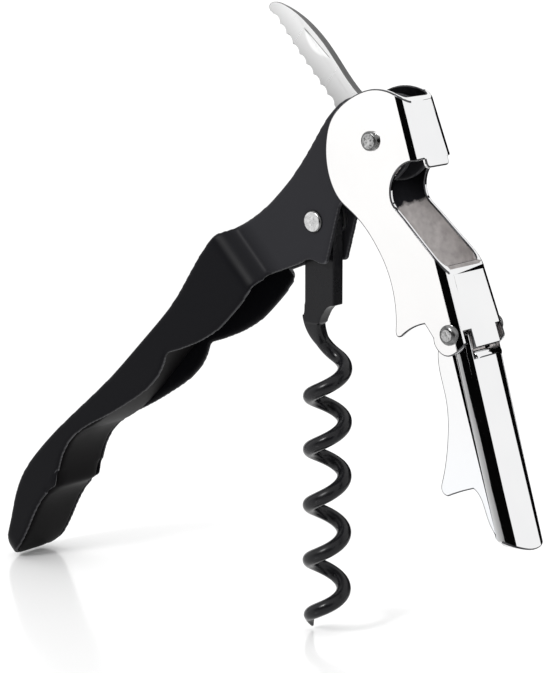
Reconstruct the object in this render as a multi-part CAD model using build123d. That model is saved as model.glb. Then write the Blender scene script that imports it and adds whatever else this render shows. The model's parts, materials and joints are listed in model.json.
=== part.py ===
from build123d import *
import os
from math import cos, radians, sin

# Waiters corkscrew with a double-hinged lever, millimetres, +Z up, +X towards the lever, Y across
# the sheet-metal walls. Each outline is drawn in its own part's frame: x runs along the part from
# its pivot, z across it, and Y is the thickness. swing() then turns it to the half-open rest pose.

# Rest directions, degrees above +X, seen from the -Y side
HANDLE_DIRECTION = 225.0
LEVER_DIRECTION = 290.3
LOWER_DIRECTION = 287.0
KNIFE_DIRECTION = 142.0
WORM_DIRECTION = 270.0

# Pivots
WORM_PIVOT = (19.3, 1.15)  # in the handle's frame
KNEE_PIVOT = (33.1, 6.0)  # in the upper lever's frame
RUNNING_GAP = 0.05  # radial, round every pin that something turns on
SIDE_GAP = 0.05  # beside every part that turns
THROUGH = 10.0  # reaches past both sides of every part

# Handle shell: two cheeks near the head, then a wider grip
CHEEK_OUTER = 3.2  # half width
CHEEK_WALL = 1.1
CHEEK_INNER = CHEEK_OUTER - CHEEK_WALL
GRIP_OUTER = 6.1
GRIP_WALL = 0.8
SPINE_WALL = 1.0
CHEEK_END = 33.2  # where the jog from cheek to grip starts
GRIP_START = 35.6
BAY_END = 59.6  # the grip insert starts here
TIP_END = 120.8
TIP_ROUND = 4.2
HEAD_RADIUS = 7.1

# Levers, folded from chrome-plated sheet
LEVER_WALL = 0.8
LEVER_HEAD_OUTER = 4.5  # half width at the head pivot
LEVER_TAPER = 0.0456  # half width gained per millimetre towards the knee
LEVER_WEB = 8.4  # outer face of the web above the head pivot
LEVER_BEND = 1.8  # outer radius of the fold between web and wall
TONGUE_HALF = 3.4
NOTCH_HALF = 3.6  # the lower lever's web is open this far each side, for the tongue
TONGUE_END = 36.2
NOTCH_START = 33.2
LIP_HALF = 2.9  # the cap lifter's lip, half width
LOWER_OUTER = 5.0
LOWER_WALL = 0.7
LOWER_BEND = 3.0
LOWER_WEB = 2.6  # outer face of the web above the knee pivot
LOWER_END = 36.0
TIP_START = 32.4  # where the lower lever's tip starts to round off

# Rivets and washers
HEAD_PIN = 1.3
WORM_PIN = 1.4
KNEE_PIN = 1.2
HEAD_RIVET_CAP = 1.6
WORM_RIVET_CAP = 1.85
KNEE_RIVET_CAP = 1.65
CAP_HEIGHT = 0.75
HEAD_RIVET_GRIP = LEVER_HEAD_OUTER + 0.12  # half the length between the caps
KNEE_RIVET_GRIP = 6.1
WASHER_RADIUS = 2.9
LEVER_WASHER = 0.3

# Knife
KNIFE_HALF = 0.7
TOOTH_COUNT = 9
FIRST_TOOTH = (30.4, 0.1)
LAST_TOOTH = (11.2, 2.9)
TOOTH_DEPTH = 0.5

# Worm
PLATE_HALF = 1.25
WIRE_RADIUS = 1.25
COIL_RADIUS = 2.9
COIL_PITCH = 9.62
COIL_OFFSET = 0.55  # the coil's axis, towards +X from the worm pivot
COIL_TOP = 20.9  # below the worm pivot, where the coil leaves the shank on its -X side
COIL_BOTTOM = 66.6
POINT_LENGTH = 7.2


def slab(face, low, high):
    """A solid from a face drawn in x and z, between y = low and y = high."""
    return Pos(0, high, 0) * extrude(Plane.XZ * face, amount=high - low)


def both_sides(face, inner, outer):
    """The same slab on each side of the middle plane."""
    return slab(face, inner, outer) + slab(face, -outer, -inner)


def outline(*runs):
    """A closed face from runs of points: a run of two is a line, a longer one a smooth curve."""
    return make_face(Curve() + [Line(*run) if len(run) == 2 else Spline(*run) for run in runs])


def disc(x, z, radius):
    return Pos(x, z) * Circle(radius)


def block(x_range, y_half, z_range):
    """A box symmetric about the middle plane."""
    (x0, x1), (z0, z1) = x_range, z_range
    return Pos((x0 + x1) / 2, 0, (z0 + z1) / 2) * Box(x1 - x0, 2 * y_half, z1 - z0)


def swing(shape, direction, pivot=(0.0, 0.0)):
    """Turn a shape from its own frame to its rest direction, with its pivot at (x, z)."""
    return Pos(pivot[0], 0, pivot[1]) * Rot(0, -direction, 0) * shape


def at_rest(point, direction):
    """Where a point of a frame that turns about the head pivot lies at rest."""
    a = radians(direction)
    x, z = point
    return (x * cos(a) - z * sin(a), x * sin(a) + z * cos(a))


def rivet(pin_radius, cap_radius, grip):
    """A pin with a low domed cap at each end, outside the half width grip."""
    shape = slab(Circle(pin_radius), -grip, grip)
    cap = Cylinder(cap_radius, CAP_HEIGHT, align=(Align.CENTER, Align.CENTER, Align.MIN))
    cap = fillet(cap.edges().group_by(Axis.Z)[-1], 0.8 * CAP_HEIGHT)
    for side in (-1, 1):
        shape += Pos(0, side * grip, 0) * Rot(-90 * side, 0, 0) * cap
    return shape


def washer_pair(pin_radius, inner, outer):
    ring = Circle(WASHER_RADIUS) - Circle(pin_radius)
    return slab(ring, -outer, -inner), slab(ring, inner, outer)


# The grip seen from the side. Its belly edge runs from the jog past the bay to a cusp, then waves
# along the finger grooves to the tip. Its spine runs back.
BAY_EDGE = [(GRIP_START, 1.9), (40.5, 2.5), (48.4, 2.1), (55.0, 0.0), (BAY_END, -2.1)]
GROOVE_EDGE = [(BAY_END, -2.1), (62.0, -0.9), (66.6, -0.3), (72.5, -1.2), (80.0, -3.1), (87.0, -5.0),
               (92.0, -5.1), (96.5, -3.5), (100.0, -1.1)]
TIP_EDGE = [(100.0, -1.1), (106.6, -1.6), (113.5, 0.3), (TIP_END, 0.5)]
SPINE_EDGE = [(TIP_END, -1.4), (113.8, -4.8), (107.8, -7.8), (100.0, -9.1), (92.5, -9.0), (82.6, -8.2),
              (73.0, -7.5), (62.0, -7.4), (50.6, -7.8), (42.0, -9.4), (GRIP_START, -9.9)]
TROUGH = [(BAY_END, -3.6), (73.0, -3.4), (79.0, -3.4), (87.0, -5.0)]  # insert floor under the coil


def grip_side():
    top = [BAY_EDGE, GROOVE_EDGE, TIP_EDGE]
    return outline(*top, [TIP_EDGE[-1], SPINE_EDGE[0]], SPINE_EDGE, [SPINE_EDGE[-1], BAY_EDGE[0]])


def grip_plan(inset):
    """The grip from above, rounded at the tip, as a tall prism."""
    half = GRIP_OUTER - inset
    end = TIP_END - inset
    box = Pos((GRIP_START + end) / 2, 0) * Rectangle(end - GRIP_START, 2 * half)
    return extrude(fillet(box.vertices().group_by(Axis.X)[-1], TIP_ROUND - inset), 20, both=True)


def grip_inside():
    """The space between the grip's walls, from the spine's inner face up past the belly edge."""
    floor = [(x, z + SPINE_WALL) for x, z in SPINE_EDGE]
    top = 6.0
    rim = [[floor[-1], (GRIP_START, top)], [(GRIP_START, top), (TIP_END, top)], [(TIP_END, top), floor[0]]]
    return slab(outline(floor, *rim), -GRIP_OUTER, GRIP_OUTER) & grip_plan(GRIP_WALL)


def cheek_side():
    """One cheek: a round head, a narrow neck and the nub in front of the worm's shank."""
    neck = outline(
        [(-3.0, -6.43), (-0.2, -8.7), (4.8, -9.3), (10.0, -8.4), (17.0, -7.3), (25.0, -7.2),
         (CHEEK_END, -8.9)],
        [(CHEEK_END, -8.9), (CHEEK_END, 1.5)],
        [(CHEEK_END, 1.5), (26.6, 4.3)],
        [(26.6, 4.3), (24.6, 5.1), (23.6, 6.8)],
        [(23.6, 6.8), (22.5, 7.9)],
        [(22.5, 7.9), (13.6, 2.8)],
        [(13.6, 2.8), (8.6, 2.9), (3.0, 6.43)],
        [(3.0, 6.43), (-3.0, -6.43)],
    )
    return neck + Circle(HEAD_RADIUS)


def jog_band():
    """The two sloped bands of sheet that join the cheeks to the grip walls."""
    side = outline([(CHEEK_END, 1.5), (GRIP_START, 1.9)], [(GRIP_START, 1.9), (GRIP_START, -9.9)],
                   [(GRIP_START, -9.9), (CHEEK_END, -8.9)], [(CHEEK_END, -8.9), (CHEEK_END, 1.5)])
    near = [(CHEEK_END, CHEEK_INNER), (CHEEK_END, CHEEK_OUTER), (GRIP_START, GRIP_OUTER),
            (GRIP_START, GRIP_OUTER - GRIP_WALL)]
    band = extrude(make_face(Polyline(near, close=True)), 20, both=True)
    return (band + mirror(band, Plane.XZ)) & slab(side, -GRIP_OUTER, GRIP_OUTER)


def handle_shell():
    grip = (slab(grip_side(), -GRIP_OUTER, GRIP_OUTER) & grip_plan(0)) - grip_inside()
    shell = grip + both_sides(cheek_side(), CHEEK_INNER, CHEEK_OUTER) + jog_band()
    shell -= slab(Circle(HEAD_PIN), -CHEEK_OUTER, CHEEK_OUTER)
    return shell - slab(disc(*WORM_PIVOT, WORM_PIN), -CHEEK_OUTER, CHEEK_OUTER)


def grip_insert():
    """The filling between the grip's walls: a trough for the coil's end, then the finger grooves."""
    base = -12.0
    grooves = GROOVE_EDGE[GROOVE_EDGE.index((87.0, -5.0)):]
    side = outline(TROUGH, grooves, TIP_EDGE, [TIP_EDGE[-1], (TIP_END, base)],
                   [(TIP_END, base), (BAY_END, base)], [(BAY_END, base), TROUGH[0]])
    return slab(side, -GRIP_OUTER, GRIP_OUTER) & grip_inside()


def channel(half_width, taper, web, wall, bend, x_range):
    """Sheet folded into a U that opens downwards, with rounded bends, wide at high x if it tapers."""
    x0, x1 = x_range
    depth = 14.0

    def prism(inset):
        corners = [(x0, half_width + taper * x0 - inset), (x1, half_width + taper * x1 - inset)]
        corners += [(x, -y) for x, y in reversed(corners)]
        solid = extrude(make_face(Polyline(corners, close=True)), web - inset + depth)
        solid = Pos(0, 0, -depth) * solid
        long_edges = solid.faces().sort_by(Axis.Z)[-1].edges().sort_by(Axis.Y)
        return fillet([long_edges[0], long_edges[-1]], bend - inset)

    return prism(0) - prism(wall)


def upper_lever():
    side = outline(
        [(-3.9, LEVER_WEB), (-6.4, 5.9), (-7.8, 2.5), (-7.9, -0.6), (-7.1, -4.2), (-5.5, -7.0), (-2.6, -9.0),
         (1.1, -10.1), (4.6, -10.1), (7.4, -9.2), (10.0, -7.3), (13.3, -5.3), (16.4, -4.1), (20.1, -3.2),
         (23.4, -3.0), (26.4, -3.3), (30.2, -4.4)],
        [(30.2, -4.4), (31.1, -4.3), (31.3, -3.4)],
        [(31.3, -3.4), (30.4, 0.0), (30.4, 1.7)],
        [(30.4, 1.7), (32.9, 2.7)],
        [(32.9, 2.7), (34.8, 2.9), (36.2, 4.3), (36.2, 6.3), (35.2, LEVER_WEB - 0.4)],
        [(35.2, LEVER_WEB - 0.4), (35.2, LEVER_WEB)],
        [(35.2, LEVER_WEB), (-3.9, LEVER_WEB)],
    )
    tongue = block((34.0, TONGUE_END), TONGUE_HALF, (LEVER_WEB - LEVER_WALL, LEVER_WEB))
    shape = channel(LEVER_HEAD_OUTER, LEVER_TAPER, LEVER_WEB, LEVER_WALL, LEVER_BEND, (-12.0, 38.0))
    shape = shape & slab(side, -THROUGH, THROUGH)
    # cap lifter: the web is cut away behind its lip, and both walls curve in below it
    opener = outline([(5.4, 12.0), (5.4, 7.4)], [(5.4, 7.4), (5.3, 5.2), (6.4, 2.9), (8.6, 1.4), (10.5, 1.2),
                     (12.4, 2.1), (16.9, 4.6), (24.2, LEVER_WEB)],
                     [(24.2, LEVER_WEB), (24.2, 12.0)], [(24.2, 12.0), (5.4, 12.0)])
    lip = block((5.0, 6.9), LIP_HALF, (LEVER_WEB - LEVER_WALL, LEVER_WEB))
    shape = shape - slab(opener, -THROUGH, THROUGH) + lip
    # the corners of the web are cut back, which leaves a tongue between them
    corners = block((NOTCH_START, 38.0), 5.15, (6.9, 10.0))
    shape = shape - corners + tongue + block((32.0, 34.2), TONGUE_HALF, (LEVER_WEB - LEVER_WALL, LEVER_WEB))
    shape -= slab(Circle(HEAD_PIN + RUNNING_GAP), -THROUGH, THROUGH)
    return shape - slab(disc(*KNEE_PIVOT, KNEE_PIN), -THROUGH, THROUGH)


def lower_lever():
    side = outline(
        [(0.5, LOWER_WEB), (0.3, 1.4)],
        [(0.3, 1.4), (-1.2, 0.9), (-1.5, -0.6), (-0.6, -1.9)],
        [(-0.6, -1.9), (3.2, -4.1), (10.0, -4.4), (16.4, -5.9), (23.0, -9.0)],
        [(23.0, -9.0), (24.4, -9.2), (25.2, -8.3)],
        [(25.2, -8.3), (24.8, -5.6), (24.6, -2.9)],
        [(24.6, -2.9), (25.6, -2.2), (29.1, -1.6), (31.7, -1.0), (33.4, -0.1), (LOWER_END, 0.9)],
        [(LOWER_END, 0.9), (LOWER_END, LOWER_WEB)],
        [(LOWER_END, LOWER_WEB), (0.5, LOWER_WEB)],
    )
    shape = channel(LOWER_OUTER, 0.0, LOWER_WEB, LOWER_WALL, LOWER_BEND, (-3.0, 40.0))
    shape = shape & slab(side, -THROUGH, THROUGH)
    # seen from above it ends in a rounded tip, and is cut back at the knee between two standing ears
    plan = Rectangle(TIP_START + 5.0, 2 * LOWER_OUTER + 0.2, align=(Align.MIN, Align.CENTER))
    plan = Pos(-5.0, 0) * plan + Pos(TIP_START, 0) * Ellipse(LOWER_END - TIP_START, LOWER_OUTER + 0.1)
    shape = shape & Pos(0, 0, -THROUGH) * extrude(plan, 2 * THROUGH)
    shape -= block((-2.0, 3.6), NOTCH_HALF, (0.0, LOWER_WEB + 1))
    return shape - slab(Circle(KNEE_PIN + RUNNING_GAP), -THROUGH, THROUGH)


def knife_blade():
    """A short curved blade: a plain back with a bevelled tip, and a scalloped edge."""
    step = (Vector(*LAST_TOOTH) - Vector(*FIRST_TOOTH)) / TOOTH_COUNT
    hollow = Vector(-step.Y, step.X).normalized() * TOOTH_DEPTH
    points = [Vector(*FIRST_TOOTH) + step * n for n in range(TOOTH_COUNT + 1)]
    edges = [ThreePointArc(a, (a + b) / 2 + hollow, b) for a, b in zip(points, points[1:])]
    edges += [Spline(points[-1], (7.5, 3.5), (3.0, 3.4), (-1.6, 2.8), (-3.1, 0.0), (-1.7, -2.7), (3.0, -2.6),
                     (9.1, -1.9), (12.5, -2.3), (18.4, -3.4), (22.8, -3.7), (26.7, -3.4), (29.4, -2.7),
                     (31.1, -1.9), (31.9, -1.0), (31.8, 0.0)),
              Line((31.8, 0.0), points[0])]
    blade = slab(make_face(Curve() + edges), -KNIFE_HALF, KNIFE_HALF)
    nick = slab(outline([(24.0, -2.7), (16.4, -2.5)], [(16.4, -2.5), (20.1, -1.0), (24.0, -2.7)]), -1.0, -0.45)
    return blade - nick - slab(Circle(HEAD_PIN + RUNNING_GAP), -1, 1)


def worm():
    """A flat shank with a hooked end, drawn out into a right-hand coil with a sharp point."""
    shank = outline(
        [(14.2, -3.5), (0.0, -3.5)],
        [(0.0, -3.5), (-2.6, -2.2), (-3.4, -0.4), (-2.6, 1.6), (0.0, 2.7)],
        [(0.0, 2.7), (14.2, 2.7)],
        [(14.2, 2.7), (14.4, 1.6), (15.8, 0.3), (17.6, -0.5), (19.6, -0.9)],
        [(19.6, -0.9), (20.2, -3.3)],
        [(20.2, -3.3), (17.0, -3.7), (14.2, -3.5)],
    )
    shank = slab(shank, -PLATE_HALF, PLATE_HALF)
    shank -= slab(Circle(WORM_PIN + RUNNING_GAP), -PLATE_HALF, PLATE_HALF)
    rise = COIL_BOTTOM - COIL_TOP
    coil_path = Helix(COIL_PITCH, rise, COIL_RADIUS)
    coil = sweep(Plane(coil_path @ 0, z_dir=coil_path % 0) * Circle(WIRE_RADIUS), coil_path, is_frenet=True)
    # the point is a cone that carries on along the coil's tangent, turned a little inwards
    away = -(coil_path % 0) + Vector(-0.35, 0, -0.1)
    point = Plane(coil_path @ 0, z_dir=away) * Cone(
        WIRE_RADIUS, 0.12, POINT_LENGTH, align=(Align.CENTER, Align.CENTER, Align.MIN))
    coil = coil + point + Plane(coil_path @ 0) * Sphere(WIRE_RADIUS)
    turn_at_bottom = 180 - 360 * rise / COIL_PITCH
    coil = Pos(COIL_OFFSET, 0, -COIL_BOTTOM) * Rot(0, 0, turn_at_bottom) * coil
    return swing(shank, WORM_DIRECTION) + coil


def build():
    worm_at = at_rest(WORM_PIVOT, HANDLE_DIRECTION)
    knee_at = at_rest(KNEE_PIVOT, LEVER_DIRECTION)
    nodes = {
        "handle_shell": swing(handle_shell(), HANDLE_DIRECTION),
        "grip_insert": swing(grip_insert(), HANDLE_DIRECTION),
        "upper_lever": swing(upper_lever(), LEVER_DIRECTION),
        "lower_lever": swing(lower_lever(), LOWER_DIRECTION, knee_at),
        "knife_blade": swing(knife_blade(), KNIFE_DIRECTION),
        "worm": Pos(worm_at[0], 0, worm_at[1]) * worm(),
        "head_rivet": rivet(HEAD_PIN, HEAD_RIVET_CAP, HEAD_RIVET_GRIP),
        "worm_rivet": Pos(worm_at[0], 0, worm_at[1]) * rivet(WORM_PIN, WORM_RIVET_CAP, CHEEK_OUTER),
        "knee_rivet": Pos(knee_at[0], 0, knee_at[1]) * rivet(KNEE_PIN, KNEE_RIVET_CAP, KNEE_RIVET_GRIP),
    }
    washers = {
        "knife_washer": (HEAD_PIN, KNIFE_HALF + SIDE_GAP, CHEEK_INNER, (0.0, 0.0)),
        "lever_washer": (HEAD_PIN, CHEEK_OUTER, CHEEK_OUTER + LEVER_WASHER, (0.0, 0.0)),
        "worm_washer": (WORM_PIN, PLATE_HALF + SIDE_GAP, CHEEK_INNER, worm_at),
    }
    for name, (pin, inner, outer, (x, z)) in washers.items():
        pair = washer_pair(pin, inner, outer)
        for label, ring in zip(("near", "far"), pair):
            nodes[f"{name}_{label}"] = Pos(x, 0, z) * ring
    return nodes


nodes = build()
box = Compound(children=[shape.solids()[0] for shape in nodes.values()]).bounding_box()
to_origin = Pos(-(box.min.X + box.max.X) / 2, -(box.min.Y + box.max.Y) / 2, -box.min.Z)
os.makedirs("parts", exist_ok=True)
for name, shape in nodes.items():
    export_step(to_origin * shape, f"parts/{name}.step")
print("pivots move by", to_origin.position, "overall", box.size)
for name, (point, direction) in {
    "head": ((0.0, 0.0), 0.0),
    "worm": (WORM_PIVOT, HANDLE_DIRECTION),
    "knee": (KNEE_PIVOT, LEVER_DIRECTION),
}.items():
    x, z = at_rest(point, direction)
    print(name, "pivot", round(x + to_origin.position.X, 4), round(z + to_origin.position.Z, 4))
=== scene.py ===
import json
import math

import bmesh
import bpy
from mathutils import Matrix, Vector, kdtree, noise


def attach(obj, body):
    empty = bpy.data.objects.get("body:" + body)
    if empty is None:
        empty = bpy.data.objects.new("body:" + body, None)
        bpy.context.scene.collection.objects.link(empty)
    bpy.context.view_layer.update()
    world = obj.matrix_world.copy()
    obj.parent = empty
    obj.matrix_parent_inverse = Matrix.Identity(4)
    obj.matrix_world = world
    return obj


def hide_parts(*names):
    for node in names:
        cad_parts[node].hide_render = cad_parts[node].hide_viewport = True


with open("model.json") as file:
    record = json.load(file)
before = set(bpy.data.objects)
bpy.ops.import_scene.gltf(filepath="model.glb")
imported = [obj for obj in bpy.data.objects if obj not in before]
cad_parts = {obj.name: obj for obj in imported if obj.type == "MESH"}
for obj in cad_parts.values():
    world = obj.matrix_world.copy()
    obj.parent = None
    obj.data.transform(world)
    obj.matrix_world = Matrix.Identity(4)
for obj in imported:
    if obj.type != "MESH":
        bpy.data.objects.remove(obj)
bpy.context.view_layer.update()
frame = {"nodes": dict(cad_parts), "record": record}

MM = 0.001

# ------------------------------------------------------------------ places, from the frame

JOINTS = {joint["name"]: joint for joint in frame["record"]["behaviour"]["joints"]}


class Place:
    """A part's own directions: along it from its pivot, across it, and y through its thickness."""

    def __init__(self, pivot, degrees):
        angle = math.radians(degrees)
        self.pivot = Vector(pivot)
        self.along = Vector((math.cos(angle), 0, math.sin(angle)))
        self.across = Vector((-math.sin(angle), 0, math.cos(angle)))
        self.offset = self.pivot.dot(self.along) / MM
        self.offset_across = self.pivot.dot(self.across) / MM

    def local(self, point):
        """(along, y, across) of a point, in millimetres."""
        offset = (point - self.pivot) / MM
        return offset.dot(self.along), offset.y, offset.dot(self.across)

    def point(self, along, y, across):
        return self.pivot + (self.along * along + self.across * across + Vector((0, y, 0))) * MM


HANDLE = Place(JOINTS["lever_fold"]["pos_m"], 225.0)
LEVER = Place(JOINTS["lever_fold"]["pos_m"], 290.3)
KNIFE = Place(JOINTS["knife_fold"]["pos_m"], 142.0)
WORM = Place(JOINTS["worm_fold"]["pos_m"], 270.0)
LOWER = Place(JOINTS["knee"]["pos_m"], 287.0)

CHEEK_END = 33.2  # along the handle, where the cheeks jog out to the grip
GRIP_START = 35.6
GRIP_HALF = 6.1
CUSP = 100.0  # along the handle, where two finger grooves meet
CHEEK_HALF = 3.2

# Upper lever: half the width of its cap lifter's lip, where the lip starts and ends, and where
# the opening ends, along the lever
LIP_HALF = 2.9
LIP_START = 5.4
LIP_END = 6.9
WINDOW_END = 24.2

# Lower lever: height above the knee where its folds start, and the crown of its web
FOLD_START = -0.45
WEB_START = 3.6
WEB_BACK = 0.75  # how far back from the knee the web is rolled
BARREL_HALF = 3.3
CROWN_RISE = 0.45
CROWN_FALL = 0.036
FAR_FALL = 0.07  # the web falls away faster still towards its far fold

# Knife: where the blade starts to thin, and its end, along it
THIN_FROM = 21.0
BLADE_END = 32.0

# Nail nick: from where to where along the blade, how far above the blade's middle line its
# straight side starts, how much further it climbs to its end, and its greatest width
NICK_START = 16.4
NICK_END = 24.0
NICK_SIDE = 2.5
NICK_CLIMB = 0.2
NICK_WIDTH = 1.6
NICK_FLOOR = -0.45  # the y of its floor

# Worm: the wire passes each side of the coil at these turn angles and depths below the pivot
COIL_STATIONS = [(180.0, 21.2), (40.5, 25.1), (-139.5, 29.9), (-319.5, 34.3), (-499.5, 39.1),
                 (-679.5, 43.7), (-859.5, 48.8), (-1039.5, 53.6), (-1219.5, 58.5), (-1399.5, 63.5),
                 (-1579.5, 68.4), (-1618.0, 70.9)]
COIL_RADIUS = 2.9
COIL_SHIFT = 0.55
COIL_JOIN = 100.0
WIRE = 1.25
NECK_HALF = 1.85
NECK_DEPTH = 16.4
POINT_LENGTH = 6.5
POINT_END = 0.12


# ------------------------------------------------------------------ modelling helpers

def deselect():
    if bpy.context.object and bpy.context.object.mode != "OBJECT":
        bpy.ops.object.mode_set(mode="OBJECT")
    bpy.ops.object.select_all(action="DESELECT")


def activate(piece):
    deselect()
    piece.select_set(True)
    bpy.context.view_layer.objects.active = piece


def apply_modifier(piece, modifier):
    activate(piece)
    bpy.ops.object.modifier_apply(modifier=modifier.name)


def new_piece(name, points, faces):
    """A piece from points in metres, with its normals turned outward."""
    mesh = bpy.data.meshes.new(name)
    mesh.from_pydata(points, [], faces)
    piece = bpy.data.objects.new(name, mesh)
    bpy.context.collection.objects.link(piece)
    activate(piece)
    bpy.ops.object.mode_set(mode="EDIT")
    bpy.ops.mesh.select_all(action="SELECT")
    bpy.ops.mesh.normals_make_consistent(inside=False)
    bpy.ops.object.mode_set(mode="OBJECT")
    return piece


def skin(name, rings):
    """Joins rings of points, each ring as long as the next, or a single point at a closed end."""
    points, starts = [], []
    for ring in rings:
        starts.append(len(points))
        points.extend(ring)
    faces = []
    for first, second, low, high in zip(rings, rings[1:], starts, starts[1:]):
        count = max(len(first), len(second))
        for n in range(count):
            after = (n + 1) % count
            corners = [low + n, low + after] if len(first) > 1 else [low]
            corners += [high + after, high + n] if len(second) > 1 else [high]
            faces.append(corners)
    return new_piece(name, points, faces)


def places_near_edges(mesh, sharp):
    """A tree of every corner of a mesh and of points along its sharp edges."""
    spots = [vertex.co.copy() for vertex in mesh.verts]
    for edge in mesh.edges:
        if len(edge.link_faces) == 2 and edge.calc_face_angle(0) > sharp:
            a, b = (vertex.co for vertex in edge.verts)
            steps = int((a - b).length / (0.1 * MM))
            spots += [a.lerp(b, k / (steps + 1)) for k in range(1, steps + 1)]
    tree = kdtree.KDTree(len(spots))
    for number, spot in enumerate(spots):
        tree.insert(spot, number)
    tree.balance()
    return tree


def tame(piece, tree, reach):
    """Brings back the few corner points that rounding has thrown far from every edge."""
    mesh = bmesh.new()
    mesh.from_mesh(piece.data)
    flown = {vertex for vertex in mesh.verts if tree.find(vertex.co)[2] > reach}
    for attempt in range(8):
        for vertex in list(flown):
            near = [edge.other_vert(vertex) for edge in vertex.link_edges]
            near = [other for other in near if other not in flown]
            if near:
                vertex.co = sum((other.co for other in near), Vector()) / len(near)
                flown.discard(vertex)
    mesh.to_mesh(piece.data)
    mesh.free()


def start_from(node, name):
    """A new piece with a merged copy of a CAD node's mesh, its flat faces whole again."""
    source = frame["nodes"][node]
    piece = bpy.data.objects.new(name, source.data.copy())
    piece.data.name = name
    bpy.context.collection.objects.link(piece)
    piece.data.materials.clear()
    activate(piece)
    bpy.ops.object.mode_set(mode="EDIT")
    bpy.ops.mesh.select_all(action="SELECT")
    bpy.ops.mesh.customdata_custom_splitnormals_clear()
    bpy.ops.mesh.remove_doubles(threshold=0.000002)
    bpy.ops.mesh.dissolve_limited(angle_limit=math.radians(0.4))
    bpy.ops.mesh.dissolve_degenerate(threshold=0.00002)
    bpy.ops.object.mode_set(mode="OBJECT")
    return piece


def round_edges(piece, wanted, width, segments, profile=0.5):
    """Bevels the edges that wanted(edge) picks, width in millimetres."""
    activate(piece)
    bpy.ops.object.mode_set(mode="EDIT")
    bpy.ops.mesh.select_mode(type="EDGE")
    bpy.ops.mesh.select_all(action="DESELECT")
    mesh = bmesh.from_edit_mesh(piece.data)
    for edge in mesh.edges:
        edge.select = len(edge.link_faces) == 2 and wanted(edge)
    tree = places_near_edges(mesh, 0.01)
    bmesh.update_edit_mesh(piece.data)
    bpy.ops.mesh.bevel(offset=width * MM, segments=segments, profile=profile, affect="EDGES",
                       clamp_overlap=False)
    bpy.ops.object.mode_set(mode="OBJECT")
    tame(piece, tree, 1.6 * width * MM)


def soften(piece, width, segments=3, degrees=35.0, slot=-1):
    """Rounds every sharp edge left on a piece, in the material of a slot, and shades it smooth."""
    mesh = bmesh.new()
    mesh.from_mesh(piece.data)
    tree = places_near_edges(mesh, math.radians(degrees))
    mesh.free()
    bevel = piece.modifiers.new("soft_edges", "BEVEL")
    bevel.loop_slide = False
    bevel.material = slot
    bevel.width = width * MM
    bevel.segments = segments
    bevel.limit_method = "ANGLE"
    bevel.angle_limit = math.radians(degrees)
    bevel.use_clamp_overlap = False
    bevel.harden_normals = True
    apply_modifier(piece, bevel)
    tame(piece, tree, (1.7 * width + 0.06) * MM)
    bpy.ops.object.shade_smooth_by_angle(angle=math.radians(40.0))
    weigh = piece.modifiers.new("even_shading", "WEIGHTED_NORMAL")
    weigh.keep_sharp = True
    weigh.weight = 100
    apply_modifier(piece, weigh)


def paint(piece, *materials):
    for material in materials:
        piece.data.materials.append(material)


def paint_faces(piece, slot, wanted):
    """Gives the faces that wanted(centre, normal) picks the piece's material number slot."""
    for face in piece.data.polygons:
        if wanted(face.center, face.normal):
            face.material_index = slot


def finish_piece(piece, body, node):
    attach(piece, body)
    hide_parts(node)


# ------------------------------------------------------------------ camera

VIEW_AZIMUTH = 40.5
VIEW_ELEVATION = 12.0
VIEW_DISTANCE = 0.4063
VIEW_TARGET = Vector((0.0044, 0.0, 0.05))
LENS = 128.06


def towards(azimuth, elevation):
    """The direction from the object to somebody who looks at it from these angles, in degrees."""
    a, e = math.radians(azimuth), math.radians(elevation)
    return Vector((math.sin(a) * math.cos(e), -math.cos(a) * math.cos(e), math.sin(e)))


def add_camera():
    data = bpy.data.cameras.new("camera")
    data.lens = LENS
    data.clip_start = 0.01
    camera = bpy.data.objects.new("camera", data)
    bpy.context.collection.objects.link(camera)
    sight = towards(VIEW_AZIMUTH, VIEW_ELEVATION)
    camera.location = VIEW_TARGET + sight * VIEW_DISTANCE
    camera.rotation_euler = sight.to_track_quat("Z", "Y").to_euler()
    bpy.context.scene.camera = camera


# ------------------------------------------------------------------ shader groups

def new_group(name, inputs, outputs):
    """A node group with float inputs {name: value} and outputs [(name, socket type)]."""
    group = bpy.data.node_groups.new(name, "ShaderNodeTree")
    group.interface.new_socket("Position", in_out="INPUT", socket_type="NodeSocketVector")
    for label, value in inputs.items():
        socket = group.interface.new_socket(label, in_out="INPUT", socket_type="NodeSocketFloat")
        socket.default_value = value
    for label, kind in outputs:
        group.interface.new_socket(label, in_out="OUTPUT", socket_type=kind)
    return group, group.nodes.new("NodeGroupInput"), group.nodes.new("NodeGroupOutput")


def grain_group():
    """Fine coat grain: a height for bump and a patchy value for roughness."""
    group, given, result = new_group("grain", {"Scale": 1500.0, "Patch Scale": 60.0},
                                     [("Height", "NodeSocketFloat"), ("Patches", "NodeSocketFloat")])
    nodes, links = group.nodes, group.links
    fine = nodes.new("ShaderNodeTexNoise")
    fine.inputs["Detail"].default_value = 4.0
    fine.inputs["Roughness"].default_value = 0.6
    broad = nodes.new("ShaderNodeTexNoise")
    broad.inputs["Detail"].default_value = 3.0
    for noise, scale in ((fine, "Scale"), (broad, "Patch Scale")):
        links.new(given.outputs["Position"], noise.inputs["Vector"])
        links.new(given.outputs[scale], noise.inputs["Scale"])
    links.new(fine.outputs["Fac"], result.inputs["Height"])
    links.new(broad.outputs["Fac"], result.inputs["Patches"])
    return group


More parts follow.
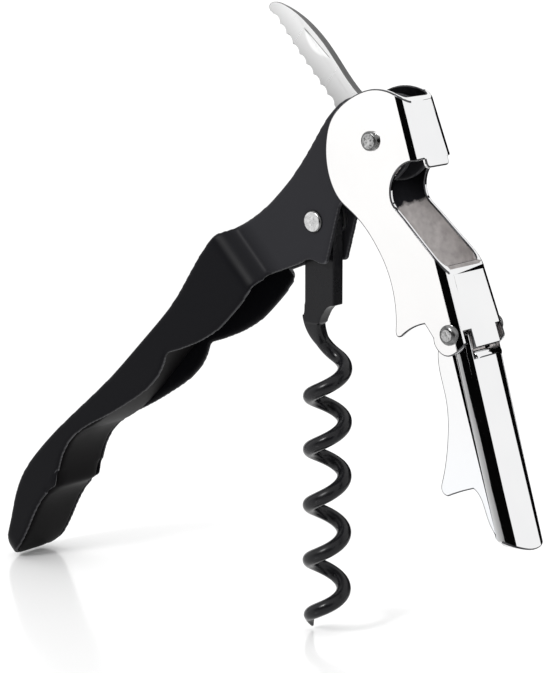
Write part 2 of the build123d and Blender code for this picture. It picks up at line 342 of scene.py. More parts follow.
def brush_group():
    """Straight brushing lines along the position's x: a height and a streaky value."""
    group, given, result = new_group("brushing", {"Fineness": 2200.0, "Stretch": 0.03},
                                     [("Height", "NodeSocketFloat"), ("Streaks", "NodeSocketFloat")])
    nodes, links = group.nodes, group.links
    parts = nodes.new("ShaderNodeSeparateXYZ")
    shrink = nodes.new("ShaderNodeMath")
    shrink.operation = "MULTIPLY"
    joined = nodes.new("ShaderNodeCombineXYZ")
    lines = nodes.new("ShaderNodeTexNoise")
    lines.inputs["Detail"].default_value = 3.0
    links.new(given.outputs["Position"], parts.inputs["Vector"])
    links.new(parts.outputs["X"], shrink.inputs[0])
    links.new(given.outputs["Stretch"], shrink.inputs[1])
    links.new(shrink.outputs[0], joined.inputs["X"])
    links.new(parts.outputs["Y"], joined.inputs["Y"])
    links.new(parts.outputs["Z"], joined.inputs["Z"])
    links.new(joined.outputs[0], lines.inputs["Vector"])
    links.new(given.outputs["Fineness"], lines.inputs["Scale"])
    links.new(lines.outputs["Fac"], result.inputs["Height"])
    links.new(lines.outputs["Fac"], result.inputs["Streaks"])
    return group


def painted_edge_highlight_group():
    """Turns the edge marks into a painted edge highlight that is broken up a little along the edge."""
    group, given, result = new_group("painted_edge_highlight", {"Edge": 0.0, "Patch Scale": 140.0},
                                     [("Painted Edge Highlight", "NodeSocketFloat")])
    nodes, links = group.nodes, group.links
    noise_node = nodes.new("ShaderNodeTexNoise")
    links.new(given.outputs["Position"], noise_node.inputs["Vector"])
    links.new(given.outputs["Patch Scale"], noise_node.inputs["Scale"])
    broken = nodes.new("ShaderNodeMapRange")
    broken.inputs["From Min"].default_value = 0.3
    broken.inputs["From Max"].default_value = 0.6
    broken.inputs["To Min"].default_value = 0.55
    sharp = nodes.new("ShaderNodeMapRange")
    sharp.inputs["From Min"].default_value = 0.42
    sharp.inputs["From Max"].default_value = 0.95
    both = nodes.new("ShaderNodeMath")
    both.operation = "MULTIPLY"
    links.new(noise_node.outputs["Fac"], broken.inputs["Value"])
    links.new(given.outputs["Edge"], sharp.inputs["Value"])
    links.new(broken.outputs["Result"], both.inputs[0])
    links.new(sharp.outputs["Result"], both.inputs[1])
    links.new(both.outputs[0], result.inputs["Painted Edge Highlight"])
    return group


def nick_painted_shading_group():
    """The painted shading of the knife's nail nick, on the near side only: a painted shadow line along
    its straight side, then a painted bright floor that ends in a curve. The position has x along the
    blade."""
    group, given, result = new_group("nail_nick_painted_shading", {},
                                     [("Bright", "NodeSocketFloat"), ("Painted Shadow", "NodeSocketFloat")])
    nodes, links = group.nodes, group.links

    def calculate(operation, first, second, clamp=False):
        node = nodes.new("ShaderNodeMath")
        node.operation = operation
        node.use_clamp = clamp
        for slot, value in enumerate((first, second)):
            if isinstance(value, float):
                node.inputs[slot].default_value = value
            else:
                links.new(value, node.inputs[slot])
        return node.outputs[0]

    parts = nodes.new("ShaderNodeSeparateXYZ")
    links.new(given.outputs["Position"], parts.inputs["Vector"])
    span = NICK_END - NICK_START
    t = calculate("ADD", calculate("MULTIPLY", parts.outputs["X"], 1 / MM / span),
                  -(KNIFE.offset + NICK_START) / span)
    high = calculate("MULTIPLY", calculate("MULTIPLY", t, calculate("SUBTRACT", 1.0, t)), 4 * NICK_WIDTH)
    down = calculate("ADD", calculate("MULTIPLY", parts.outputs["Z"], 1 / MM),
                     NICK_SIDE - KNIFE.offset_across)
    down = calculate("ADD", down, calculate("MULTIPLY", t, NICK_CLIMB))
    near = calculate("LESS_THAN", parts.outputs["Y"], 0.0)
    inside = calculate("MULTIPLY", near, calculate("GREATER_THAN", down, 0.0))
    floor = calculate("MULTIPLY", calculate("SUBTRACT", high, down), 2.5, True)
    painted_bright = calculate("MULTIPLY", floor, inside)
    line = calculate("SUBTRACT", 1.0, calculate("MULTIPLY", down, 4.0), True)
    links.new(painted_bright, result.inputs["Bright"])
    links.new(calculate("MULTIPLY", line, painted_bright), result.inputs["Painted Shadow"])
    return group


GRAIN = grain_group()
NICK_PAINTED_SHADING = nick_painted_shading_group()
BRUSHING = brush_group()
PAINTED_EDGE_HIGHLIGHT = painted_edge_highlight_group()


class Finish:
    """A material whose Principled shader gets constants here and patterns from node groups."""

    def __init__(self, name, color, metallic, roughness, **settings):
        self.material = bpy.data.materials.new(name)
        self.material.use_nodes = True
        self.nodes = self.material.node_tree.nodes
        self.links = self.material.node_tree.links
        self.shader = self.nodes["Principled BSDF"]
        self.shader.inputs["Base Color"].default_value = (*color, 1)
        self.shader.inputs["Metallic"].default_value = metallic
        self.shader.inputs["Roughness"].default_value = roughness
        for label, value in settings.items():
            self.shader.inputs[label.replace("_", " ")].default_value = value
        self.where = self.nodes.new("ShaderNodeTexCoord").outputs["Object"]

    def group(self, group, position=None, **values):
        node = self.nodes.new("ShaderNodeGroup")
        node.node_tree = group
        self.links.new(position or self.where, node.inputs["Position"])
        for label, value in values.items():
            node.inputs[label.replace("_", " ")].default_value = value
        return node

    def turned(self, degrees):
        """Object coordinates turned so that x runs along a part that points this way."""
        mapping = self.nodes.new("ShaderNodeMapping")
        mapping.inputs["Rotation"].default_value = (0, math.radians(degrees), 0)
        self.links.new(self.where, mapping.inputs["Vector"])
        return mapping.outputs["Vector"]

    def span(self, value, low, high, socket):
        """Spreads a 0 to 1 value between low and high and feeds it to a shader socket."""
        spread = self.nodes.new("ShaderNodeMapRange")
        spread.inputs["From Min"].default_value = 0.3
        spread.inputs["From Max"].default_value = 0.7
        spread.inputs["To Min"].default_value = low
        spread.inputs["To Max"].default_value = high
        self.links.new(value, spread.inputs["Value"])
        self.links.new(spread.outputs["Result"], self.shader.inputs[socket])

    def tint(self, value, dark, light):
        """Blends the base colour from dark to light by a 0 to 1 value."""
        ramp = self.nodes.new("ShaderNodeValToRGB")
        ramp.color_ramp.elements[0].position = 0.3
        ramp.color_ramp.elements[1].position = 0.7
        ramp.color_ramp.elements[0].color = (*dark, 1)
        ramp.color_ramp.elements[1].color = (*light, 1)
        self.links.new(value, ramp.inputs["Fac"])
        self.links.new(ramp.outputs["Color"], self.shader.inputs["Base Color"])

    def fade(self, position, axis, start, end, first, last):
        """Base colour that goes from first to last between two places, in millimetres."""
        parts = self.nodes.new("ShaderNodeSeparateXYZ")
        spread = self.nodes.new("ShaderNodeMapRange")
        spread.inputs["From Min"].default_value = start * MM
        spread.inputs["From Max"].default_value = end * MM
        self.links.new(position, parts.inputs["Vector"])
        self.links.new(parts.outputs[axis], spread.inputs["Value"])
        ramp = self.nodes.new("ShaderNodeValToRGB")
        ramp.color_ramp.elements[0].color = (*first, 1)
        ramp.color_ramp.elements[1].color = (*last, 1)
        self.links.new(spread.outputs["Result"], ramp.inputs["Fac"])
        self.links.new(ramp.outputs["Color"], self.shader.inputs["Base Color"])

    def paint_shadow(self, position, end):
        """Paints a shadow: darkens the base colour up to a place along a part, in millimetres, with a
        ragged border.
        """
        parts = self.nodes.new("ShaderNodeSeparateXYZ")
        ragged = self.group(GRAIN, Scale=500.0, Patch_Scale=500.0)
        shift = self.nodes.new("ShaderNodeMath")
        shift.operation = "MULTIPLY_ADD"
        shift.inputs[1].default_value = 2.4 * MM
        spread = self.nodes.new("ShaderNodeMapRange")
        spread.inputs["From Min"].default_value = (end + 0.9) * MM
        spread.inputs["From Max"].default_value = (end + 1.5) * MM
        blend = self.nodes.new("ShaderNodeMixRGB")
        before = self.shader.inputs["Base Color"].links[0].from_socket
        self.links.new(position, parts.inputs["Vector"])
        self.links.new(ragged.outputs["Patches"], shift.inputs[0])
        self.links.new(parts.outputs["X"], shift.inputs[2])
        self.links.new(shift.outputs[0], spread.inputs["Value"])
        self.links.new(spread.outputs["Result"], blend.inputs["Fac"])
        self.links.new(before, blend.inputs["Color2"])
        blend.inputs["Color1"].default_value = (0.012, 0.012, 0.014, 1)
        self.links.new(blend.outputs["Color"], self.shader.inputs["Base Color"])

    def paint_edge_highlights(self, color):
        """Blends the base colour towards a lighter one along the marked edges, a painted highlight."""
        edge = self.nodes.new("ShaderNodeAttribute")
        edge.attribute_name = "edge"
        highlight = self.group(PAINTED_EDGE_HIGHLIGHT)
        self.links.new(edge.outputs["Fac"], highlight.inputs["Edge"])
        self.blend(highlight.outputs["Painted Edge Highlight"], color)

    def blend(self, value, color):
        """Blends the base colour towards another one by a 0 to 1 value."""
        mix = self.nodes.new("ShaderNodeMixRGB")
        before = self.shader.inputs["Base Color"].links[0].from_socket
        self.links.new(value, mix.inputs["Fac"])
        self.links.new(before, mix.inputs["Color1"])
        mix.inputs["Color2"].default_value = (*color, 1)
        self.links.new(mix.outputs["Color"], self.shader.inputs["Base Color"])

    def bump(self, height, depth, strength=1.0):
        """Feeds a height to the shader's normal, depth in millimetres."""
        node = self.nodes.new("ShaderNodeBump")
        node.inputs["Distance"].default_value = depth * MM
        node.inputs["Strength"].default_value = strength
        self.links.new(height, node.inputs["Height"])
        self.links.new(node.outputs["Normal"], self.shader.inputs["Normal"])


# ------------------------------------------------------------------ materials

def satin_black_coat():
    finish = Finish("satin_black_coat", (0.012, 0.012, 0.0135), 0.0, 0.42, Specular_IOR_Level=0.06)
    # painted light and shade: the one coat is lighter on the cheeks and darker from the jog onto the
    # grip
    finish.fade(finish.turned(225.0), "X", HANDLE.offset + 30.0, HANDLE.offset + 36.0,
                (0.0175, 0.0175, 0.02), (0.0035, 0.0035, 0.0045))
    grain = finish.group(GRAIN, Scale=2600.0, Patch_Scale=70.0)
    finish.span(grain.outputs["Patches"], 0.34, 0.42, "Roughness")
    finish.bump(grain.outputs["Height"], 0.012, 0.5)
    # painted highlight: the coat is lighter along the handle's edges, where they would catch the light
    finish.paint_edge_highlights((0.1, 0.1, 0.105))
    return finish.material


def moulded_black():
    finish = Finish("moulded_black", (0.004, 0.0037, 0.004), 0.0, 0.45, Specular_IOR_Level=0.04)
    grain = finish.group(GRAIN, Scale=1400.0, Patch_Scale=50.0)
    finish.span(grain.outputs["Patches"], 0.4, 0.5, "Roughness")
    finish.bump(grain.outputs["Height"], 0.02, 0.5)
    return finish.material


def mirror_chrome(name, dark, light):
    finish = Finish(name, light, 1.0, 0.03)
    grain = finish.group(GRAIN, Scale=300.0, Patch_Scale=90.0)
    finish.tint(grain.outputs["Patches"], dark, light)
    finish.span(grain.outputs["Patches"], 0.015, 0.05, "Roughness")
    return finish.material


def lower_wall_chrome_painted_reflection():
    finish = Finish("lower_wall_chrome_painted_reflection", (0.74, 0.75, 0.77), 1.0, 0.06)
    # painted reflection: the colour fades from near white at the knee to a cool grey along the lever
    finish.fade(finish.turned(287.0), "X", LOWER.offset, LOWER.offset + 34.0,
                (0.93, 0.925, 0.92), (0.77, 0.785, 0.81))
    grain = finish.group(GRAIN, Scale=300.0, Patch_Scale=90.0)
    finish.span(grain.outputs["Patches"], 0.04, 0.1, "Roughness")
    return finish.material


def chrome_edge_painted_dark():
    # painted reflection: near-black chrome on the levers' rounded edges, for the dark lines they show
    finish = Finish("chrome_edge_painted_dark", (0.05, 0.05, 0.055), 1.0, 0.2)
    grain = finish.group(GRAIN, Scale=700.0, Patch_Scale=200.0)
    finish.tint(grain.outputs["Patches"], (0.02, 0.02, 0.022), (0.12, 0.12, 0.125))
    return finish.material


def chrome_inside_painted_shade(name, shadow_end):
    """The unpolished inside of a lever, its colour painted dark as shade; the last argument is how far
    along the lever a painted shadow keeps it black.
    """
    finish = Finish(name, (0.3, 0.27, 0.265), 1.0, 0.3)
    grain = finish.group(GRAIN, Scale=1700.0, Patch_Scale=700.0)
    finish.tint(grain.outputs["Patches"], (0.35, 0.326, 0.322), (0.49, 0.46, 0.452))
    finish.span(grain.outputs["Height"], 0.28, 0.42, "Roughness")
    finish.bump(grain.outputs["Height"], 0.02, 0.5)
    # painted shadow: black from the head to a ragged border along the lever
    finish.paint_shadow(finish.turned(290.3), LEVER.offset + shadow_end)
    return finish.material


def ground_blade_painted_shade():
    finish = Finish("ground_blade_painted_shade", (0.66, 0.66, 0.65), 1.0, 0.3)
    # painted shade: the blade's colour goes from light near its back to dark towards its teeth
    finish.fade(finish.turned(142.0), "Z", KNIFE.offset_across - 2.5, KNIFE.offset_across + 2.9,
                (0.82, 0.82, 0.82), (0.4, 0.4, 0.4))
    brushing = finish.group(BRUSHING, finish.turned(142.0 - 90.0), Fineness=2600.0, Stretch=0.04)
    finish.span(brushing.outputs["Streaks"], 0.27, 0.32, "Roughness")
    finish.bump(brushing.outputs["Height"], 0.001, 0.2)
    # painted highlight and painted shadow: the nail nick's bright floor and the dark line along its
    # straight side
    nick_shading = finish.group(NICK_PAINTED_SHADING, finish.turned(142.0))
    finish.blend(nick_shading.outputs["Bright"], (0.97, 0.97, 0.97))
    finish.blend(nick_shading.outputs["Painted Shadow"], (0.1, 0.1, 0.1))
    return finish.material


def blade_edge():
    finish = Finish("blade_edge", (0.12, 0.12, 0.12), 1.0, 0.35)
    brushing = finish.group(BRUSHING, finish.turned(142.0), Fineness=3000.0, Stretch=0.1)
    finish.tint(brushing.outputs["Streaks"], (0.1, 0.1, 0.1), (0.17, 0.17, 0.17))
    finish.span(brushing.outputs["Streaks"], 0.3, 0.5, "Roughness")
    return finish.material


def worm_coat():
    finish = Finish("worm_coat", (0.005, 0.005, 0.006), 0.0, 0.26, Specular_IOR_Level=0.22)
    grain = finish.group(GRAIN, Scale=1500.0, Patch_Scale=240.0)
    finish.span(grain.outputs["Patches"], 0.18, 0.34, "Roughness")
    finish.bump(grain.outputs["Height"], 0.03, 0.6)
    return finish.material


def peened_steel(name, dark, light):
    finish = Finish(name, light, 1.0, 0.22)
    grain = finish.group(GRAIN, Scale=1100.0, Patch_Scale=1300.0)
    finish.tint(grain.outputs["Patches"], dark, light)
    finish.span(grain.outputs["Patches"], 0.16, 0.34, "Roughness")
    finish.bump(grain.outputs["Patches"], 0.02, 0.5)
    return finish.material


def card_black():
    finish = Finish("card_black", (0.002, 0.002, 0.002), 0.0, 0.9, Specular_IOR_Level=0.0)
    grain = finish.group(GRAIN, Scale=3.0, Patch_Scale=2.0)
    finish.span(grain.outputs["Patches"], 0.8, 0.9, "Roughness")
    return finish.material


def washer_steel():
    finish = Finish("washer_steel", (0.3, 0.3, 0.3), 1.0, 0.35)
    grain = finish.group(GRAIN, Scale=900.0, Patch_Scale=300.0)
    finish.span(grain.outputs["Patches"], 0.25, 0.45, "Roughness")
    return finish.material


SATIN_BLACK = satin_black_coat()
MOULDED_BLACK = moulded_black()
# painted light and shade: one mirror chrome in two brightnesses, darker on webs, folds and barrel,
# lighter on the upper lever's outer walls
CHROME_PAINTED_DARKER = mirror_chrome("mirror_chrome", (0.72, 0.722, 0.728), (0.75, 0.75, 0.752))
CHROME_WALL_PAINTED_LIGHTER = mirror_chrome("mirror_chrome_wall_painted_lighter", (0.88, 0.872, 0.868), (0.91, 0.902, 0.896))
CHROME_EDGE_PAINTED_DARK = chrome_edge_painted_dark()
CHROME_LOWER_WALL_PAINTED_REFLECTION = lower_wall_chrome_painted_reflection()
# painted shade: the levers' insides are coloured darker than their chrome, the upper one also painted
# black near the head as shadow
CHROME_INSIDE_PAINTED_SHADE = chrome_inside_painted_shade("chrome_inside_painted_shade", -100.0)
CHROME_INSIDE_PAINTED_SHADOW = chrome_inside_painted_shade("chrome_inside_head_painted_shadow", 10.6)
BLADE = ground_blade_painted_shade()
BLADE_EDGE = blade_edge()
WORM_COAT = worm_coat()
PEENED = peened_steel("peened_steel", (0.28, 0.28, 0.28), (0.6, 0.6, 0.6))
# painted shade: a dark steel for the sides of the rivet heads
RIVET_SIDE_PAINTED_SHADE = peened_steel("rivet_side_painted_shade", (0.08, 0.08, 0.08), (0.2, 0.2, 0.2))
BRIGHT_RIVET = peened_steel("bright_rivet", (0.5, 0.5, 0.5), (0.72, 0.72, 0.72))
WASHER = washer_steel()
CARD_BLACK = card_black()


# ------------------------------------------------------------------ handle

def melt_down(piece, voxel, degrees, passes):
    """Gives a piece one even skin with softly rounded edges, its grid laid along the part."""
    turn = Matrix.Rotation(math.radians(degrees), 4, "Y")
    piece.data.transform(turn)
    skin_over = piece.modifiers.new("one_skin", "REMESH")
    skin_over.mode = "VOXEL"
    skin_over.voxel_size = voxel * MM
    apply_modifier(piece, skin_over)
    even = piece.modifiers.new("evened", "SMOOTH")
    even.factor = 0.5
    even.iterations = passes
    apply_modifier(piece, even)
    piece.data.transform(turn.inverted())


def round_off(piece, passes, wanted):
    """Smooths only the part of a skin that wanted(point) picks."""
    group = piece.vertex_groups.new(name="rounded_off")
    group.add([vertex.index for vertex in piece.data.vertices if wanted(vertex.co)], 1.0, "REPLACE")
    smooth = piece.modifiers.new("rounded_off", "SMOOTH")
    smooth.vertex_group = group.name
    smooth.factor = 0.5
    smooth.iterations = passes
    apply_modifier(piece, smooth)
    piece.vertex_groups.clear()


def mark_edges(piece, full):
    """Stores how far each point stands proud of its neighbours, for the painted highlight along the
    edges.
    """
    mesh = bmesh.new()
    mesh.from_mesh(piece.data)
    mesh.normal_update()
    layer = mesh.verts.layers.float.new("edge")
    for vertex in mesh.verts:
        proud = sum(vertex.normal.dot((vertex.co - edge.other_vert(vertex).co).normalized())
                    for edge in vertex.link_edges)
        vertex[layer] = min(max(proud / max(len(vertex.link_edges), 1) / full, 0), 1)
    mesh.to_mesh(piece.data)
    mesh.free()


def at_cusp(point):
    along, _, across = HANDLE.local(point)
    return abs(along - CUSP) < 3.0 and -3.2 < across < 1.0


def make_handle():
    shell = start_from("handle_shell", "handle_pressing")

    def outer_bend(edge):
        return all(abs(along - GRIP_START) < 0.02 and abs(y) > GRIP_HALF - 0.02
                   for along, y, _ in (HANDLE.local(vertex.co) for vertex in edge.verts))

    def inner_bend(edge):
        return all(abs(along - CHEEK_END) < 0.02 and abs(abs(y) - CHEEK_HALF) < 0.02
                   for along, y, _ in (HANDLE.local(vertex.co) for vertex in edge.verts))

    round_edges(shell, outer_bend, 1.8, 8)
    round_edges(shell, inner_bend, 0.7, 5)
    melt_down(shell, 0.31, 225.0, 14)
    round_off(shell, 60, at_cusp)
    mark_edges(shell, 0.22)
    activate(shell)
    bpy.ops.object.shade_smooth()
    paint(shell, SATIN_BLACK)
    finish_piece(shell, "handle", "handle_shell")

    filling = start_from("grip_insert", "grip_filling")
    melt_down(filling, 0.32, 225.0, 14)
    round_off(filling, 90, at_cusp)
    activate(filling)
    bpy.ops.object.shade_smooth()
    paint(filling, MOULDED_BLACK)
    finish_piece(filling, "handle", "grip_insert")


# ------------------------------------------------------------------ levers

def crown_web(lower):
    """Raises the lower lever's web into a gentle crown between its two folds."""
    activate(lower)
    bpy.ops.object.mode_set(mode="EDIT")
    for y in (-1.5, -0.75, 0.0, 0.6, 1.2, 1.6):
        bpy.ops.mesh.select_all(action="SELECT")
        bpy.ops.mesh.bisect(plane_co=(0, y * MM, 0), plane_no=(0, 1, 0))
    bpy.ops.object.mode_set(mode="OBJECT")
    for vertex in lower.data.vertices:
        along, y, across = LOWER.local(vertex.co)
        if across > FOLD_START:
            rise = min(max((along - 3.0) / 6.0, 0), 1)
            vertex.co = LOWER.point(along, y, across + rise * (
                CROWN_RISE - CROWN_FALL * y * y - FAR_FALL * max(y - 0.6, 0) ** 2))


def make_barrel():
    """The rolled end of the lower lever's web, under the upper lever's tongue."""
    rings = [[LOWER.point(4.3, -BARREL_HALF, 1.5)]]
    for y, radius in ((-BARREL_HALF, 0.8), (0.12 - BARREL_HALF, 1.0), (0, 1.0),
                      (BARREL_HALF - 0.12, 1.0), (BARREL_HALF, 0.8)):
        rings.append([LOWER.point(4.3 + radius * math.cos(2 * math.pi * k / 40), y,
                                  1.5 + radius * math.sin(2 * math.pi * k / 40)) for k in range(40)])
    rings.append([LOWER.point(4.3, BARREL_HALF, 1.5)])
    barrel = skin("knee_barrel", rings)
    bpy.ops.object.shade_smooth_by_angle(angle=math.radians(60.0))
    paint(barrel, CHROME_PAINTED_DARKER)
    return barrel


def make_levers():
    upper = start_from("upper_lever", "upper_lever_pressing")

    def lip_corner(edge):
        (a, y, low), (b, _, high) = (LEVER.local(vertex.co) for vertex in edge.verts)
        return (abs(low - high) > 0.3 and abs(a - b) < 0.05 and abs(abs(y) - LIP_HALF) < 0.05
                and min(abs(a - LIP_START), abs(a - LIP_END)) < 0.05)

    round_edges(upper, lip_corner, 0.7, 4)
    paint(upper, CHROME_PAINTED_DARKER, CHROME_INSIDE_PAINTED_SHADOW, CHROME_EDGE_PAINTED_DARK, CHROME_WALL_PAINTED_LIGHTER)
    # the outer walls take the chrome painted lighter
    paint_faces(upper, 3, lambda centre, normal: normal.y * centre.y > 0.99 * abs(centre.y))
    # painted shade: inside faces, and the web's end faces at the opening, take the inside's painted-dark
    # colour
    paint_faces(upper, 1, lambda centre, normal: normal.y * centre.y < -0.9 * abs(centre.y)
                or (normal.dot(LEVER.along) < -0.15 and abs(centre.y) < 1.0 * MM
                    and abs(LEVER.local(centre)[0] - WINDOW_END) < 7.0))
    # the rounded edges take slot 2, the chrome painted dark
    soften(upper, 0.23, slot=2)
    finish_piece(upper, "upper_lever", "upper_lever")

    lower = start_from("lower_lever", "lower_lever_pressing")
    crown_web(lower)
    for vertex in lower.data.vertices:
        along, y, across = LOWER.local(vertex.co)
        if abs(along - WEB_START) < 0.05 and abs(y) < 3.65:
            vertex.co = LOWER.point(along + WEB_BACK, y, across)
    paint(lower, CHROME_PAINTED_DARKER, CHROME_INSIDE_PAINTED_SHADE, CHROME_EDGE_PAINTED_DARK, CHROME_LOWER_WALL_PAINTED_REFLECTION)
    # painted shade: the inside faces take the inside's painted-dark colour
    paint_faces(lower, 1, lambda centre, normal: normal.y * centre.y < -0.9 * abs(centre.y))
    # the outer walls take the chrome with the painted reflection
    paint_faces(lower, 3, lambda centre, normal: normal.y * centre.y > 0.99 * abs(centre.y))
    # the rounded edges take slot 2, the chrome painted dark
    soften(lower, 0.23, slot=2)
    barrel = make_barrel()
    activate(lower)
    barrel.select_set(True)
    bpy.ops.object.join()
    finish_piece(lower, "lower_lever", "lower_lever")


# ------------------------------------------------------------------ knife

def in_nick(point):
    along, _, across = KNIFE.local(point)
    return NICK_START - 0.05 < along < NICK_END + 0.05 and -2.75 < across < -0.9


def cover_nick(blade):
    """Covers the nail nick over; the blade's material paints its shade and highlight instead, with clean
    edges.
    """
    mesh = bmesh.new()
    mesh.from_mesh(blade.data)
    inside = [face for face in mesh.faces
              if any(in_nick(v.co) and abs(v.co.y / MM - NICK_FLOOR) < 0.02 for v in face.verts)]
    bmesh.ops.delete(mesh, geom=inside, context="FACES")
    rim = [edge for edge in mesh.edges if len(edge.link_faces) == 1]
    bmesh.ops.holes_fill(mesh, edges=rim, sides=0)
    bmesh.ops.recalc_face_normals(mesh, faces=mesh.faces[:])
    bmesh.ops.dissolve_limit(mesh, angle_limit=math.radians(0.4),
                             verts=mesh.verts[:], edges=mesh.edges[:])
    mesh.to_mesh(blade.data)
    mesh.free()


def make_knife():
    blade = start_from("knife_blade", "blade")

    def tooth_peak(edge):
        low, high = (KNIFE.local(vertex.co) for vertex in edge.verts)
        return (abs(low[1] - high[1]) > 1.0 and low[0] > 11.5 and low[2] > -0.3
                and edge.calc_face_angle(0) > math.radians(20))

    round_edges(blade, tooth_peak, 0.25, 3)
    cover_nick(blade)
    paint(blade, BLADE, BLADE_EDGE)
    paint_faces(blade, 1, lambda centre, normal: abs(normal.y) < 0.5)
    # the blade thins towards its tip
    for vertex in blade.data.vertices:
        along, y, across = KNIFE.local(vertex.co)
        reach = min(max((along - THIN_FROM) / (BLADE_END - THIN_FROM), 0), 1)
        vertex.co = KNIFE.point(along, y * (1 - 0.75 * reach * reach * (3 - 2 * reach)), across)
    soften(blade, 0.07, slot=1)
    finish_piece(blade, "knife", "knife_blade")


# ------------------------------------------------------------------ worm

def depth_at(angle):
    """Depth of the wire's centre below the pivot at a turn angle, smooth through the stations."""
    last = len(COIL_STATIONS) - 1

    def slope(n):
        (a, low), (b, high) = COIL_STATIONS[max(n - 1, 0)], COIL_STATIONS[min(n + 1, last)]
        return (high - low) / (b - a)

    n = max(k for k in range(last) if angle <= COIL_STATIONS[k][0])
    (a, low), (b, high) = COIL_STATIONS[n], COIL_STATIONS[n + 1]
    t = (angle - a) / (b - a)
    return ((2 * t ** 3 - 3 * t ** 2 + 1) * low + (3 * t ** 2 - 2 * t ** 3) * high
            + (t ** 3 - 2 * t ** 2 + t) * (b - a) * slope(n)
            + (t ** 3 - t ** 2) * (b - a) * slope(n + 1))


def coil_point(angle):
    turn = math.radians(angle)
    return Vector((COIL_SHIFT + COIL_RADIUS * math.cos(turn), COIL_RADIUS * math.sin(turn),
                   -depth_at(angle)))


def wire_line():
    """The wire's centre line: straight out of the shank, over into the coil, and round to the point."""
    start, leave = Vector((-2.45, 0, -NECK_DEPTH)), Vector((0, 0, -1))
    join, enter = coil_point(COIL_JOIN), (coil_point(COIL_JOIN - 2) - coil_point(COIL_JOIN)).normalized()
    reach = (join - start).length
    line = []
    for step in range(24):
        t = step / 24
        line.append((2 * t ** 3 - 3 * t ** 2 + 1) * start + (3 * t ** 2 - 2 * t ** 3) * join
                    + (t ** 3 - 2 * t ** 2 + t) * reach * leave
                    + (t ** 3 - t ** 2) * reach * 1.1 * enter)
    angle = COIL_JOIN
    while angle > COIL_STATIONS[-1][0]:
        line.append(coil_point(angle))
        angle -= 4.0
    line.append(coil_point(COIL_STATIONS[-1][0]))
    return line


def superellipse(turn, half_across, half_deep, power):
    c, d = math.cos(turn), math.sin(turn)
    return (math.copysign(abs(c) ** (2 / power), c) * half_across,
            math.copysign(abs(d) ** (2 / power), d) * half_deep)


def make_wire():
    line = wire_line()
    lengths = [0.0]
    for before, after in zip(line, line[1:]):
        lengths.append(lengths[-1] + (after - before).length)
    side = Vector((1, 0, 0))
    rings = [[WORM.pivot + line[0] * MM]]
    for n, (centre, length) in enumerate(zip(line, lengths)):
        tangent = (line[min(n + 1, len(line) - 1)] - line[max(n - 1, 0)]).normalized()
        side = (side - tangent * side.dot(tangent)).normalized()
        other = tangent.cross(side)
        blend = min(length / 5.0, 1)
        left = lengths[-1] - length
        taper = min(left / POINT_LENGTH, 1)
        taper = POINT_END + (1 - POINT_END) * math.sin(taper * math.pi / 2) ** 0.8
        ring = []
        for k in range(28):
            a, b = superellipse(2 * math.pi * k / 28, NECK_HALF + (WIRE - NECK_HALF) * blend, WIRE,
                                6 - 4 * blend)
            ring.append(WORM.pivot + (centre + (side * a + other * b) * taper) * MM)
        rings.append(ring)
    rings.append([WORM.pivot + line[-1] * MM])
    return skin("wire", rings)


def make_worm():
    worm = start_from("worm", "coil_worm")
    activate(worm)
    bpy.ops.object.mode_set(mode="EDIT")
    bpy.ops.mesh.select_all(action="SELECT")
    bpy.ops.mesh.bisect(plane_co=WORM.pivot - Vector((0, 0, (NECK_DEPTH + 1.2) * MM)),
                        plane_no=(0, 0, 1), use_fill=True, clear_inner=True)
    bpy.ops.object.mode_set(mode="OBJECT")
    wire = make_wire()
    activate(worm)
    wire.select_set(True)
    bpy.ops.object.join()
    # the shank and the wire become one skin, as if drawn from one bar
    melt_down(worm, 0.155, 0.0, 5)
    activate(worm)
    bpy.ops.object.shade_smooth()
    paint(worm, WORM_COAT)
    finish_piece(worm, "worm", "worm")


# ------------------------------------------------------------------ rivets and washers

def make_rivet(node, body, pivot, pin, grip, cap, face, peen):
    """A pin with a closed head at each end. cap is (radius, height) from the wall to the middle,
    face the material of its struck face and peen how uneven that is, in millimetres."""
    half = [(pin, 0.0)] + [(radius, grip + height) for radius, height in cap]
    inner = cap[-1]
    half += [(inner[0] * k / 8, grip + inner[1]) for k in range(7, 0, -1)]
    rings = []
    for side in (-1, 1):
        row = []
        for radius, out in half:
            ring = []
            for k in range(56):
                turn = 2 * math.pi * k / 56
                round_it = math.cos(turn) * radius, side * out, math.sin(turn) * radius
                spot = pivot + Vector(round_it) * MM
                dent = peen * noise.noise(spot / MM * 2.6) if radius < inner[0] else 0
                ring.append(spot + Vector((0, side * dent * MM, 0)))
            row.append(ring)
        row.append([pivot + Vector((0, side * (grip + inner[1]) * MM, 0))])
        rings = row[::-1] + rings if side < 0 else rings + row
    rivet = skin(node + "_peened", rings)
    bpy.ops.object.shade_smooth_by_angle(angle=math.radians(50.0))
    # painted shade: the sides of the heads are coloured dark
    paint(rivet, RIVET_SIDE_PAINTED_SHADE, face)
    reach = (inner[0] + 0.02) * MM
    paint_faces(rivet, 1, lambda centre, normal: abs(centre.y) > (grip + 0.1) * MM
                and math.hypot(centre.x - pivot.x, centre.z - pivot.z) < reach)
    finish_piece(rivet, body, node)


def make_rivets():
    make_rivet("head_rivet", "handle", HANDLE.pivot, 1.3, 4.62,
               [(1.6, 0.0), (1.6, 0.25), (1.56, 0.42), (1.46, 0.54), (1.32, 0.6), (1.2, 0.6)],
               PEENED, 0.1)
    make_rivet("worm_rivet", "handle", WORM.pivot, 1.4, 3.2,
               [(1.85, 0.0), (1.84, 0.12), (1.76, 0.3), (1.6, 0.46)], BRIGHT_RIVET, 0.05)
    make_rivet("knee_rivet", "upper_lever", LOWER.pivot, 1.2, 6.1,
               [(1.65, 0.0), (1.65, 0.15), (1.58, 0.32), (1.42, 0.48), (1.2, 0.6), (0.95, 0.68)],
               PEENED, 0.06)


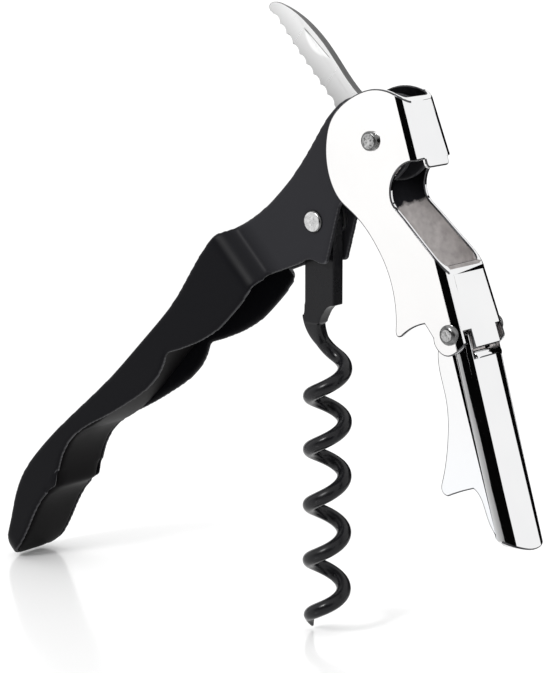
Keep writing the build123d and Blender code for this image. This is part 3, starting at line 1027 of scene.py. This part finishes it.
def dress_washers():
    for node, thing in frame["nodes"].items():
        if "washer" in node:
            for slot in thing.material_slots:
                slot.material = WASHER


# ------------------------------------------------------------------ stage

def add_floor():
    deselect()
    bpy.ops.mesh.primitive_plane_add(size=6.0)
    floor = bpy.context.object
    floor.name = "floor"
    finish = Finish("floor_white", (0.82, 0.82, 0.82), 0.0, 0.16)
    grain = finish.group(GRAIN, Scale=3.0, Patch_Scale=2.0)
    finish.span(grain.outputs["Patches"], 0.15, 0.17, "Roughness")
    paint(floor, finish.material)


def only_reflected(card):
    """Lets a card be seen in reflections alone, so that it neither shows nor takes light away."""
    card.visible_camera = False
    card.visible_diffuse = False
    card.visible_shadow = False


def add_card(name, azimuth, distance, width, low, high):
    """A dark upright card that only shows as a reflection in the chrome, facing the object."""
    deselect()
    sight = towards(azimuth, 0.0)
    middle = sight * distance + Vector((VIEW_TARGET.x, 0, (low + high) / 2))
    bpy.ops.mesh.primitive_plane_add(size=1.0, location=middle,
                                     rotation=sight.to_track_quat("Z", "Y").to_euler())
    card = bpy.context.object
    card.name = name
    card.scale = (width, high - low, 1)
    bpy.ops.object.transform_apply(location=True, rotation=True, scale=True)
    only_reflected(card)
    paint(card, CARD_BLACK)


def add_mat(name, x_range, y_range):
    """A dark mat on the floor beside what the camera sees, for the far folds to reflect."""
    deselect()
    (x0, x1), (y0, y1) = x_range, y_range
    bpy.ops.mesh.primitive_plane_add(size=1.0, location=((x0 + x1) / 2, (y0 + y1) / 2, 0.0005))
    mat = bpy.context.object
    mat.name = name
    mat.scale = (x1 - x0, y1 - y0, 1)
    bpy.ops.object.transform_apply(location=True, rotation=True, scale=True)
    only_reflected(mat)
    paint(mat, CARD_BLACK)


def add_light(name, azimuth, elevation, distance, size, power):
    data = bpy.data.lights.new(name, "AREA")
    data.size = size
    data.energy = power
    data.spread = math.radians(40.0)
    light = bpy.data.objects.new(name, data)
    bpy.context.collection.objects.link(light)
    sight = towards(azimuth, elevation)
    light.location = VIEW_TARGET + sight * distance
    light.rotation_euler = sight.to_track_quat("Z", "Y").to_euler()


def add_world():
    world = bpy.data.worlds.new("studio")
    bpy.context.scene.world = world
    world.use_nodes = True
    background = world.node_tree.nodes["Background"]
    background.inputs["Color"].default_value = (1, 1, 1, 1)
    background.inputs["Strength"].default_value = 1.2


bpy.context.scene.view_settings.view_transform = "Standard"
add_camera()
add_floor()
add_world()
add_card("card_in_front", 15.0, 0.6, 1.2, 0.0, 0.36)
add_card("card_behind", 176.5, 0.5, 0.54, 0.0, 0.4)
add_mat("mat_behind", (0.02, 0.4), (0.09, 0.5))
add_light("bend_light", -8.0, 32.0, 0.5, 0.12, 0.09)

make_handle()
make_levers()
make_knife()
make_worm()
make_rivets()
dress_washers()
